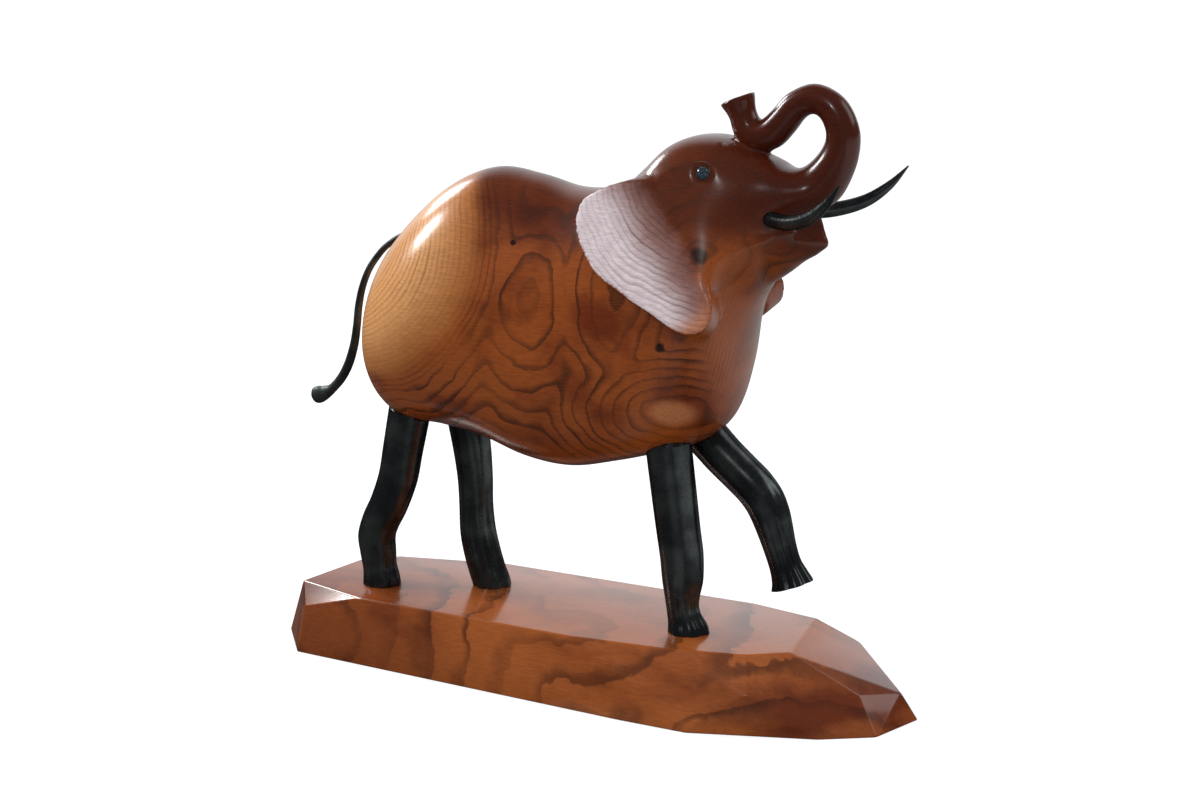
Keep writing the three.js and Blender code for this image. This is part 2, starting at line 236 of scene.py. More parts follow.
# widest at the lip's edge, with the hollow of the mouth above it
jawRows = [
    (100, 250, 104, 200, 20, 0.72, 1.3, 2),
    (118, 250, 119, 205, 22, 0.7, 1.2, 2),
    (130, 250, 130, 212, 19, 0.6, 1.1, 2),
    (140, 250, 139, 219, 13, 0.44, 1.1, 2),
    (147, 249, 146, 223, 8, 0.3, 1.1, 2),
    (149.6, 242, 149, 225.3, 5.4, 0.32, 1.1, 2),
    (151.2, 236, 151.2, 226.8, 3.5, 0.38, 1.3, 2),
    (153.4, 230.6, 153.2, 228, 1.5, 0.5, 2, 2),
]

# The ear's outline is drawn in its own plane, in (u, v) towards the lobe and towards the head.
# The plane runs on over the cheek: within "planed", what is proud of it by less than "proudBy" is cut down.
# The slab's front side slopes down into the cheek, except at the lobe.
ear = {
    "centre": (62, -52, 218),
    "towardsLobe": (77, -5, -54),
    "towardsHead": (42, 12, 19),
    "thickness": 20,
    "rear": [
        (-46, 20.5),
        (-51, 9),
        (-49, -1),
        (-42, -9),
        (-30, -15.5),
        (-16, -19.3),
        (-4, -18.8),
        (10, -17.5),
        (24, -15.6),
        (36, -14.4),
        (45, -11.5),
        (51, -5.5),
        (51.5, 2),
        (46, 11),
    ],
    "front": [(37, 17), (28, 26), (14, 38), (-6, 44), (-26, 40), (-38, 30)],
    "planed": ((-66, 46), (-12, 84)),
    "proudBy": 16,
    "onPlane": 0.8,
    "fadeWidth": 2,
    "cheek": {"towards": (0.5, 0.87), "spread": 48, "upTo": 38, "from": 8, "over": 12},
}

trunkContact = {"centre": (110.5, 0, 279), "radii": (6, 5, 3)}
eyeCentre = np.array([90.4, -30.5, 268.8])
eyeRadius = 4.0
eyeSeat = {"reach": 7.0, "depth": 2.6, "push": (0.15, 1, 0.3)}


def withSideAndGroove(rows):
    return [(*row, 0.0, 0.0) for row in rows]


def torsoRows(steps):
    torso = withSideAndGroove(bodyRows)
    trunk = rowsAlong([(*centre, 0.0) for centre in trunkCentres])
    second = np.array(torso[1])
    behind = second.copy()
    behind[0:2], behind[2:4], behind[4] = second[2:4], second[0:2], -second[4]
    return smoothRows(np.vstack([torso, trunk]), steps, behind)


def earAxes():
    lobe = np.array(ear["towardsLobe"], float)
    lobe /= np.linalg.norm(lobe)
    outward = np.cross(lobe, ear["towardsHead"])
    outward /= np.linalg.norm(outward)
    return lobe, np.cross(outward, lobe), outward


def earOutline(steps=6):
    corners = np.array(ear["rear"] + ear["front"], float)
    count = len(corners)
    outline = []
    for i in range(count):
        four = [corners[(i + k) % count] for k in (-1, 0, 1, 2)]
        outline += [catmull(*four, k / steps) for k in range(steps)]
    return np.array(outline)


def depthInside(points, outline):
    # distance to the outline, positive inside it
    inside = np.zeros(len(points), bool)
    gap = np.full(len(points), 1e9)
    for a, b in zip(outline, np.roll(outline, -1, 0)):
        span = b - a
        t = np.clip(((points - a) @ span) / (span @ span), 0, 1)
        gap = np.minimum(gap, np.linalg.norm(points - (a + t[:, None] * span), axis=1))
        crosses = (a[1] > points[:, 1]) != (b[1] > points[:, 1])
        height = span[1] if span[1] != 0 else 1e-9
        inside ^= crosses & (points[:, 0] < a[0] + (points[:, 1] - a[1]) / height * span[0])
    return np.where(inside, gap, -gap)


def planeCheek(coords, side):
    # planes the cheek down to the ear's plane and marks what lies within the ear's outline
    lobe, head, outward = earAxes()
    plan = (coords - inRow(ear["centre"]) * (1, -side, 1)) / mm * (1, -side, 1)
    u, v, h = plan @ lobe, plan @ head, plan @ outward
    (uLow, uHigh), (vLow, vHigh) = ear["planed"]
    proud = (h > 0) & (h < ear["proudBy"]) & (u > uLow) & (u < uHigh) & (v > vLow) & (v < vHigh)
    planed = np.where(proud, 0, h)
    flush = np.abs(planed) < ear["onPlane"]
    earFace = np.zeros(len(coords))
    flat = np.stack([u[flush], v[flush]], 1)
    earFace[flush] = np.clip(0.5 + depthInside(flat, earOutline()) / ear["fadeWidth"], 0, 1)
    return coords + (planed - h)[:, None] * outward * (1, -side, 1) * mm, earFace


def earSlab(side):
    lobe, head, outward = earAxes()
    outline = earOutline()
    cheek = ear["cheek"]
    share = np.clip((cheek["upTo"] - outline[:, 0]) / cheek["over"], 0, 1)
    share = share * np.clip((outline[:, 1] - cheek["from"]) / cheek["over"], 0, 1)
    spread = outline + share[:, None] * np.array(cheek["towards"]) * cheek["spread"]
    centre = np.array(ear["centre"])
    flat = centre + outline[:, :1] * lobe + outline[:, 1:] * head
    deep = centre + spread[:, :1] * lobe + spread[:, 1:] * head - outward * ear["thickness"]
    verts = np.concatenate([flat, deep])
    verts[:, 1] *= -side
    n = len(flat)
    faces = [tuple(range(n)), tuple(range(2 * n - 1, n - 1, -1))]
    faces += [(k, n + k, n + (k + 1) % n, (k + 1) % n) for k in range(n)]
    return newObject("earSlab", inRow(verts), faces)


def ellipsoid(name, centre, radii, segments=48, rings=24):
    bm = bmesh.new()
    bmesh.ops.create_uvsphere(bm, u_segments=segments, v_segments=rings, radius=1)
    place = Matrix.Translation(Vector(inRow(centre))) @ Matrix.Diagonal((*[r * mm for r in radii], 1))
    bmesh.ops.transform(bm, matrix=place, verts=bm.verts)
    return fromBmesh(name, bm)


def outwards(piece):
    bm = bmesh.new()
    bm.from_mesh(piece.data)
    bmesh.ops.remove_doubles(bm, verts=bm.verts, dist=0.001 * mm)
    bmesh.ops.recalc_face_normals(bm, faces=bm.faces)
    bm.to_mesh(piece.data)
    bm.free()


def join(name, parts):
    for part in parts:
        outwards(part)
    bm = bmesh.new()
    for part in parts:
        bm.from_mesh(part.data)
        bpy.data.objects.remove(part)
    return fromBmesh(name, bm)


def relax(coords, edges, weight, rounds):
    degree = np.bincount(edges.ravel(), minlength=len(coords))[:, None]
    for _ in range(rounds):
        total = np.zeros_like(coords)
        for axis in range(3):
            total[:, axis] = np.bincount(edges[:, 0], coords[edges[:, 1], axis], len(coords))
            total[:, axis] += np.bincount(edges[:, 1], coords[edges[:, 0], axis], len(coords))
        coords = coords + (total / np.maximum(degree, 1) - coords) * weight[:, None]
    return coords


def nearness(coords, start, end, reach):
    a, b = inRow(start), inRow(end)
    t = np.clip(((coords - a) @ (b - a)) / ((b - a) @ (b - a)), 0, 1)
    gap = np.linalg.norm(coords - (a + t[:, None] * (b - a)), axis=1)
    return np.clip(1 - gap / (reach * mm), 0, 1)


# Where the knife left no line. Seams are given as start, end and reach: the ear's plane runs into the cheek,
# the jaw into the throat, and the trunk's bend into the forehead.
cheekSeams = [
    ((97.5, -34, 259), (94.7, -38.3, 247), 14),
    ((94.7, -38.3, 247), (96.9, -41.4, 232.6), 17),
    ((96.9, -41.4, 232.6), (98.5, -40, 216), 15),
]
softSeams = [
    ((128, -18, 240), (122, -16, 208), 12),
    ((112, -24, 205), (122, -10, 206), 10),
    ((110, 0, 283), (110, 0, 279), 7),
]


def soften(coords, edges, seams, rounds):
    softness = np.zeros(len(coords))
    for start, end, reach in seams:
        for side in (1, -1):
            mirrored = [(x, y * side, z) for x, y, z in (start, end)]
            softness = np.maximum(softness, nearness(coords, *mirrored, reach))
    return relax(coords, edges, softness * bodyLook["seamWeight"], rounds)


def carvedBody():
    parts = [
        loft("torso", torsoRows(bodyLook["steps"]), bodyLook["sides"]),
        loft("jaw", smoothRows(withSideAndGroove(jawRows), bodyLook["steps"]), bodyLook["jawSides"]),
        earSlab(-1),
        earSlab(1),
        ellipsoid("contact", trunkContact["centre"], trunkContact["radii"]),
    ]
    piece = join("carvedBody", parts)
    remesh = piece.modifiers.new("remesh", "REMESH")
    remesh.mode = "VOXEL"
    remesh.voxel_size = bodyLook["voxel"]
    bake(piece)
    mesh = piece.data
    coords = np.empty(len(mesh.vertices) * 3)
    mesh.vertices.foreach_get("co", coords)
    coords = coords.reshape(-1, 3)
    edges = np.empty(len(mesh.edges) * 2, np.int64)
    mesh.edges.foreach_get("vertices", edges)
    edges = edges.reshape(-1, 2)
    coords = relax(coords, edges, np.full(len(coords), bodyLook["smoothWeight"]), bodyLook["smoothing"])
    earFace = np.zeros(len(coords))
    for side in (-1, 1):
        coords, onSide = planeCheek(coords, side)
        earFace = np.maximum(earFace, onSide)
    coords = soften(coords, edges, cheekSeams, bodyLook["cheekRounds"])
    coords = soften(coords, edges, softSeams, bodyLook["seamRounds"])
    for side in (1, -1):
        seat = inRow(eyeCentre * (1, side, 1))
        away = coords - seat
        gap = np.linalg.norm(away, axis=1)
        share = np.clip(1 - gap / (eyeSeat["reach"] * mm), 0, 1)
        coords -= share[:, None] * np.array(eyeSeat["push"]) * (1, -side, 1) * eyeSeat["depth"] * mm
    mesh.vertices.foreach_set("co", coords.ravel())
    mesh.attributes.new("earFace", "FLOAT", "POINT").data.foreach_set("value", earFace)
    mesh.update()
    smoothShade(piece)
    print("carved body", len(mesh.polygons), "faces")
    return piece


body = carvedBody()


# Metal legs, from inside the belly down to the sole

legLook = {"sides": 128, "steps": 8, "toeDepth": 1.7, "groundHalf": 0.3}

# side and standing, then centre x, z, radius, toe groove
legPlans = {
    "leg_rear_right": (-13, True, [
        (-109, 128, 13, 0),
        (-113.5, 106, 12.8, 0),
        (-117.6, 87, 12.4, 0),
        (-121.5, 69, 12.2, 0),
        (-128.2, 52, 11.9, 0),
        (-134.5, 40, 11.7, 0.05),
        (-137.6, 30, 11.8, 0.2),
        (-136.8, 20, 11.3, 0.45),
        (-135.8, 11, 10.7, 0.8),
        (-134.8, 4, 11.5, 1),
        (-134.4, -3, 12.2, 1),
    ]),
    "leg_rear_left": (16, True, [
        (-93, 126, 13, 0),
        (-88.5, 103, 12.4, 0),
        (-85.3, 84, 11.7, 0),
        (-83.4, 66, 11, 0.1),
        (-82.9, 50, 10.7, 0.25),
        (-81.8, 34, 11.3, 0.7),
        (-79.2, 21.6, 11.6, 0.95),
        (-75.4, 9.2, 11.6, 1),
        (-72.6, 2, 11.8, 1),
        (-71.4, -3, 12, 1),
    ]),
    "leg_front_right": (-16, True, [
        (61, 130, 13.6, 0),
        (63.5, 110, 13.4, 0),
        (67, 84, 13.2, 0.03),
        (70.3, 60, 12.9, 0.06),
        (72.6, 45, 12.8, 0.12),
        (73.4, 31, 12.2, 0.25),
        (73.2, 21.4, 10.6, 0.5),
        (73.6, 14, 9.8, 0.85),
        (74.9, 7.2, 10.2, 1),
        (76.6, 1.5, 12, 1),
        (77.6, -3, 12.8, 1),
    ]),
    "leg_front_left": (14, False, [
        (62, 121, 13, 0),
        (75.6, 108.4, 12.6, 0),
        (85.2, 99.4, 12.4, 0),
        (95.8, 90.6, 12.2, 0),
        (104.6, 83.2, 12.2, 0),
        (111, 76, 12.2, 0.3),
        (115.2, 68, 11.8, 0.6),
        (118.2, 59.5, 11, 0.8),
        (121.5, 49, 10, 0.9),
        (125, 39, 9.8, 1),
        (128, 32, 11.2, 1),
        (129.8, 26.8, 13, 1),
    ]),
}


def cut(piece, cutter, operation="DIFFERENCE"):
    step = piece.modifiers.new("cut", "BOOLEAN")
    step.operation = operation
    step.object = cutter
    step.solver = "EXACT"
    bake(piece)


def blockUnder(name, top, half):
    corners = ((-half, -half), (half, -half), (half, half), (-half, half))
    verts = [(x, y, z) for z in (top - half, top) for x, y in corners]
    faces = [(3, 2, 1, 0), (4, 5, 6, 7), (0, 1, 5, 4), (1, 2, 6, 5), (2, 3, 7, 6), (3, 0, 4, 7)]
    return newObject(name, verts, faces)


def metalLeg(name, plan, belly, ground):
    side, standing, centres = plan
    rows = smoothRows(rowsAlong(centres, side), legLook["steps"])
    piece = loft(name + "_metal", rows, legLook["sides"], legLook["toeDepth"])
    outwards(piece)
    cut(piece, belly)
    if standing:
        cut(piece, ground)
    smoothShade(piece)
    return piece


bellyCutter = loft("bellyCutter", torsoRows(bodyLook["cutterSteps"]), bodyLook["cutterSides"])
outwards(bellyCutter)
groundCutter = blockUnder("groundCutter", soleLevel, legLook["groundHalf"])
metalPieces = {name: metalLeg(name, plan, bellyCutter, groundCutter) for name, plan in legPlans.items()}
print("legs made")


# Shader helpers

def nodeGroup(name, inputs, outputs, kindOfTree="ShaderNodeTree"):
    group = bpy.data.node_groups.new(name, kindOfTree)
    for label, kind, value in inputs:
        socket = group.interface.new_socket(label, in_out="INPUT", socket_type=kind)
        if value is not None:
            socket.default_value = value
    for label, kind in outputs:
        group.interface.new_socket(label, in_out="OUTPUT", socket_type=kind)
    return group, group.nodes.new("NodeGroupInput"), group.nodes.new("NodeGroupOutput")


def mathNode(tree, operation, a, b=None, c=None):
    node = tree.nodes.new("ShaderNodeMath")
    node.operation = operation
    for index, value in enumerate((a, b, c)):
        if value is None:
            continue
        if isinstance(value, (int, float)):
            node.inputs[index].default_value = value
        else:
            tree.links.new(value, node.inputs[index])
    return node.outputs[0]


def times(tree, a, b):
    return mathNode(tree, "MULTIPLY", a, b)


def vectorNode(tree, operation, a, b=None):
    node = tree.nodes.new("ShaderNodeVectorMath")
    node.operation = operation
    for index, value in enumerate((a, b)):
        if value is None:
            continue
        if isinstance(value, (tuple, list, Vector)):
            node.inputs[index].default_value = value
        else:
            tree.links.new(value, node.inputs[index])
    return node.outputs["Value"] if operation in ("DISTANCE", "LENGTH", "DOT_PRODUCT") else node.outputs[0]


def noiseNode(tree, vector, scale, detail=3.0, roughness=0.5):
    node = tree.nodes.new("ShaderNodeTexNoise")
    node.inputs["Scale"].default_value = scale
    node.inputs["Detail"].default_value = detail
    node.inputs["Roughness"].default_value = roughness
    tree.links.new(vector, node.inputs["Vector"])
    return node.outputs["Fac"]


def mapNode(tree, value, low, high, toLow=0.0, toHigh=1.0, smooth=True):
    node = tree.nodes.new("ShaderNodeMapRange")
    node.interpolation_type = "SMOOTHSTEP" if smooth else "LINEAR"
    tree.links.new(value, node.inputs["Value"])
    for label, number in (("From Min", low), ("From Max", high), ("To Min", toLow), ("To Max", toHigh)):
        if isinstance(number, (int, float)):
            node.inputs[label].default_value = number
        else:
            tree.links.new(number, node.inputs[label])
    return node.outputs["Result"]


def mixNode(tree, factor, a, b):
    node = tree.nodes.new("ShaderNodeMix")
    node.data_type = "RGBA"
    for socket, value in ((node.inputs[0], factor), (node.inputs[6], a), (node.inputs[7], b)):
        if isinstance(value, (int, float)):
            socket.default_value = value
        elif isinstance(value, tuple):
            socket.default_value = (*value, 1)
        else:
            tree.links.new(value, socket)
    return node.outputs[2]


def newMaterial(name):
    material = bpy.data.materials.new(name)
    material.use_nodes = True
    tree = material.node_tree
    coords = tree.nodes.new("ShaderNodeTexCoord").outputs["Object"]
    return material, tree, tree.nodes["Principled BSDF"], coords


# Growth rings: dark latewood lines at even steps of a distance field, wandering and fading with noise.
# "rise" and "fall" are places within one ring, from 0 to 1.
ringLook = {
    "drift": {"detail": 2.5, "roughness": 0.45},
    "ripple": {"scale": 95.0, "detail": 2.5, "share": 0.22},
    "widthScale": 30.0,
    "width": (0.25, 0.7),
    "rise": 0.92,
    "fall": 0.94,
    "strength": (0.5, 1.0),
    "fadingScale": 22.0,
    "fading": (0.35, 1.0),
    "fibreStretch": (0.12, 1.0, 1.0),
    "fibreScale": 1100.0,
}


def growthRings():
    group, given, made = nodeGroup(
        "growthRings",
        [
            ("Vector", "NodeSocketVector", None),
            ("Field", "NodeSocketFloat", 0.0),
            ("Spacing", "NodeSocketFloat", 0.006),
            ("Wander", "NodeSocketFloat", 0.006),
            ("Wander Scale", "NodeSocketFloat", 30.0),
        ],
        [("Line", "NodeSocketFloat"), ("Fibre", "NodeSocketFloat")],
    )
    vector = given.outputs["Vector"]
    broad = group.nodes.new("ShaderNodeTexNoise")
    broad.inputs["Detail"].default_value = ringLook["drift"]["detail"]
    broad.inputs["Roughness"].default_value = ringLook["drift"]["roughness"]
    group.links.new(vector, broad.inputs["Vector"])
    group.links.new(given.outputs["Wander Scale"], broad.inputs["Scale"])
    drift = mathNode(group, "SUBTRACT", broad.outputs["Fac"], 0.5)
    drift = times(group, drift, given.outputs["Wander"])
    small = ringLook["ripple"]
    ripple = mathNode(group, "SUBTRACT", noiseNode(group, vector, small["scale"], small["detail"]), 0.5)
    ripple = times(group, ripple, given.outputs["Wander"])
    field = mathNode(group, "ADD", given.outputs["Field"], drift)
    field = mathNode(group, "MULTIPLY_ADD", ripple, small["share"], field)
    turns = mathNode(group, "DIVIDE", field, given.outputs["Spacing"])
    phase = mathNode(group, "FRACT", turns)
    width = noiseNode(group, vector, ringLook["widthScale"], 2.0)
    width = mapNode(group, width, 0.35, 0.65, *ringLook["width"])
    rise = mapNode(group, phase, width, ringLook["rise"])
    fall = mapNode(group, phase, ringLook["fall"], 1.0, 1.0, 0.0)
    line = times(group, rise, fall)
    ring = mathNode(group, "FLOOR", turns)
    white = group.nodes.new("ShaderNodeTexWhiteNoise")
    white.noise_dimensions = "1D"
    group.links.new(ring, white.inputs["W"])
    strength = mapNode(group, white.outputs["Value"], 0.0, 1.0, *ringLook["strength"], False)
    fading = noiseNode(group, vector, ringLook["fadingScale"], 2.0)
    fading = mapNode(group, fading, 0.3, 0.65, *ringLook["fading"])
    line = times(group, times(group, line, strength), fading)
    group.links.new(line, made.inputs["Line"])
    stretched = vectorNode(group, "MULTIPLY", vector, ringLook["fibreStretch"])
    fibre = noiseNode(group, stretched, ringLook["fibreScale"], 4.0, 0.65)
    group.links.new(fibre, made.inputs["Fibre"])
    return group


ringGroup = growthRings()


def distanceField(tree, vector, centres, blend):
    field = None
    fields = []
    for centre in centres:
        x, y, z = inRow(centre["at"])
        scale = centre["scale"]
        moved = vectorNode(tree, "SUBTRACT", vector, (x, y, z))
        scaled = vectorNode(tree, "MULTIPLY", moved, scale)
        away = mathNode(tree, "ADD", vectorNode(tree, "LENGTH", scaled), centre["start"] * mm)
        fields.append(away)
        field = away if field is None else mathNode(tree, "SMOOTH_MIN", field, away, blend * mm)
    return field, fields


# Wood of the body: pale sapwood at the rump, orange brown flanks and a dark head.
# Each centre is the heart of a figure in the grain, where the rings close round it. Rings are given as
# spacing, wander and the wander's scale. Heights and reaches along the body are in metres.
bodyWood = {
    "rump": (0.72, 0.35, 0.13),
    "rumpEdge": (0.42, 0.14, 0.03),
    "rumpLine": (0.3, 0.1, 0.028),
    "flank": (0.33, 0.075, 0.011),
    "flankDeep": (0.17, 0.028, 0.004),
    "head": (0.075, 0.011, 0.002),
    "heart": (0.55, 0.2, 0.07),
    "crest": (0.07, 0.01, 0.003),
    "line": (0.045, 0.011, 0.003),
    "knot": (0.012, 0.005, 0.003),
    "sapwoodReach": 92,
    "rings": (7.2, 15, 28.0),
    "closeRings": (3.1, 5, 26.0),
    "chestRings": (2.5, 5, 26.0),
    "centreBlend": 10,
    "bellyShadeFrom": (0.135, 0.17),
    "headFrom": (0.24, 0.315),
    "crestFrom": (0.26, 0.295),
    "paleCrown": (0.27, 0.3),
    "boldness": (0.92, 0.3),
    "chestFrom": (0.088, 0.099),
    "throatFrom": (0.236, 0.256),
    "speck": (0.82, 1.12),
    "roughness": (0.22, 0.5),
    "coat": (0.3, 0.0),
    "coatRoughness": 0.14,
    "centres": [
        {"at": (-125, 0, 207), "scale": (1.0, 0.7, 1.2), "start": 0},
        {"at": (-9, 0, 190), "scale": (1.05, 0.3, 0.72), "start": 76},
        {"at": (46, 0, 206), "scale": (1.1, 0.3, 0.6), "start": 68},
        {"at": (75, 0, 134), "scale": (0.95, 0.3, 1.4), "start": 52},
        {"at": (93.6, 0, 226), "scale": (0.9, 0.3, 0.9), "start": 70},
        {"at": (130, 0, 229), "scale": (0.9, 0.3, 1.5), "start": 84},
    ],
    "paleHeart": {"at": (77, 0, 134), "scale": (0.7, 0.02, 1.0), "reach": 10.5},
    "chestCentre": {"at": (-40, -150, 400), "scale": (1, 1, 0.45), "start": 0},
    "knots": [
        ((93.6, -41.8, 224.1), 7.5),
        ((73.8, -49.6, 172.9), 3.6),
        ((-23.4, -41.6, 224.2), 2.2),
    ],
}

# The sanded ear is rougher and uncoated, and its colour holds a painted sheen, pale along its rear edge,
# mauve and then brown towards the cheek. The lobe's tip is orange.
# Its lines curve round a heart near the eye. Places are (u, v) in the ear's plane.
earWood = {
    "pale": (0.8, 0.68, 0.69),
    "sheenMauve": (0.3, 0.14, 0.115),
    "tip": (0.55, 0.2, 0.09),
    "line": (0.12, 0.05, 0.045),
    "heart": (-4, 78),
    "rings": (3.4, 12, 24.0),
    "sheenFadeFrom": (-0.004, 0.019),
    "tipFrom": (0.036, 0.05),
    "faceUpTo": (0.014, 0.032),
}
woodFinish = {"lineRoughness": 0.04, "fibreRoughness": 0.05, "bump": 0.08, "bumpDepth": 0.1, "lineDepth": 0.8}


def ringsOf(tree, coords, field, look):
    spacing, wander, wanderScale = look
    rings = tree.nodes.new("ShaderNodeGroup")
    rings.node_tree = ringGroup
    tree.links.new(coords, rings.inputs["Vector"])
    tree.links.new(field, rings.inputs["Field"])
    rings.inputs["Spacing"].default_value = spacing * mm
    rings.inputs["Wander"].default_value = wander * mm
    rings.inputs["Wander Scale"].default_value = wanderScale
    return rings.outputs


def finishWood(tree, shader, colour, rings, roughness, look):
    line, fibre = rings["Line"], rings["Fibre"]
    tone = tree.nodes.new("ShaderNodeHueSaturation")
    tree.links.new(mapNode(tree, fibre, 0.3, 0.75, *look["speck"]), tone.inputs["Value"])
    tree.links.new(colour, tone.inputs["Color"])
    tree.links.new(tone.outputs[0], shader.inputs["Base Color"])
    rough = times(tree, line, woodFinish["lineRoughness"])
    rough = mathNode(tree, "ADD", rough, roughness)
    rough = mathNode(tree, "MULTIPLY_ADD", fibre, woodFinish["fibreRoughness"], rough)
    tree.links.new(rough, shader.inputs["Roughness"])
    bump = tree.nodes.new("ShaderNodeBump")
    bump.inputs["Strength"].default_value = woodFinish["bump"]
    bump.inputs["Distance"].default_value = woodFinish["bumpDepth"] * mm
    sunken = times(tree, line, woodFinish["lineDepth"])
    tree.links.new(mathNode(tree, "SUBTRACT", fibre, sunken), bump.inputs["Height"])
    tree.links.new(bump.outputs[0], shader.inputs["Normal"])
    shader.inputs["Coat Roughness"].default_value = look["coatRoughness"]


def earPlane(tree, coords):
    # places in the ear's plane, alike on both sides of the head
    split = tree.nodes.new("ShaderNodeSeparateXYZ")
    tree.links.new(coords, split.inputs[0])
    folded = tree.nodes.new("ShaderNodeCombineXYZ")
    side = times(tree, mathNode(tree, "ABSOLUTE", split.outputs["Y"]), -1.0)
    for label, value in (("X", split.outputs["X"]), ("Y", side), ("Z", split.outputs["Z"])):
        tree.links.new(value, folded.inputs[label])
    moved = vectorNode(tree, "SUBTRACT", folded.outputs[0], tuple(inRow(ear["centre"])))
    lobe, head, _ = earAxes()
    u = vectorNode(tree, "DOT_PRODUCT", moved, tuple(lobe))
    return u, vectorNode(tree, "DOT_PRODUCT", moved, tuple(head)), split.outputs["X"], split.outputs["Z"]


def earLayer(tree, coords, u, v):
    heartU, heartV = (value * mm for value in earWood["heart"])
    place = tree.nodes.new("ShaderNodeCombineXYZ")
    tree.links.new(mathNode(tree, "SUBTRACT", u, heartU), place.inputs["X"])
    tree.links.new(mathNode(tree, "SUBTRACT", v, heartV), place.inputs["Y"])
    away = vectorNode(tree, "LENGTH", place.outputs[0])
    ring = ringsOf(tree, coords, away, earWood["rings"])
    drift = mathNode(tree, "SUBTRACT", noiseNode(tree, coords, 60.0, 3.0), 0.5)
    forward = mathNode(tree, "MULTIPLY_ADD", u, 0.3, v)
    forward = mathNode(tree, "MULTIPLY_ADD", drift, 0.012, forward)
    # painted sheen: pale at the ear's rear edge, turning mauve towards the cheek
    tone = mixNode(tree, mapNode(tree, forward, *earWood["sheenFadeFrom"]), earWood["pale"], earWood["sheenMauve"])
    tip = mapNode(tree, mathNode(tree, "MULTIPLY_ADD", v, -0.25, u), *earWood["tipFrom"])
    tone = mixNode(tree, tip, tone, earWood["tip"])
    # the lines are paler and fainter under the painted sheen
    faint = mapNode(tree, forward, -0.01, 0.012, 0.45, 0.8)
    tone = mixNode(tree, times(tree, ring["Line"], faint), tone, earWood["line"])
    # the painted sheen, the rough finish and the missing coat give way to the body's wood towards the cheek
    bare = mapNode(tree, forward, *earWood["faceUpTo"], 1.0, 0.0)
    face = tree.nodes.new("ShaderNodeAttribute")
    face.attribute_name = "earFace"
    return tone, times(tree, face.outputs["Fac"], bare)


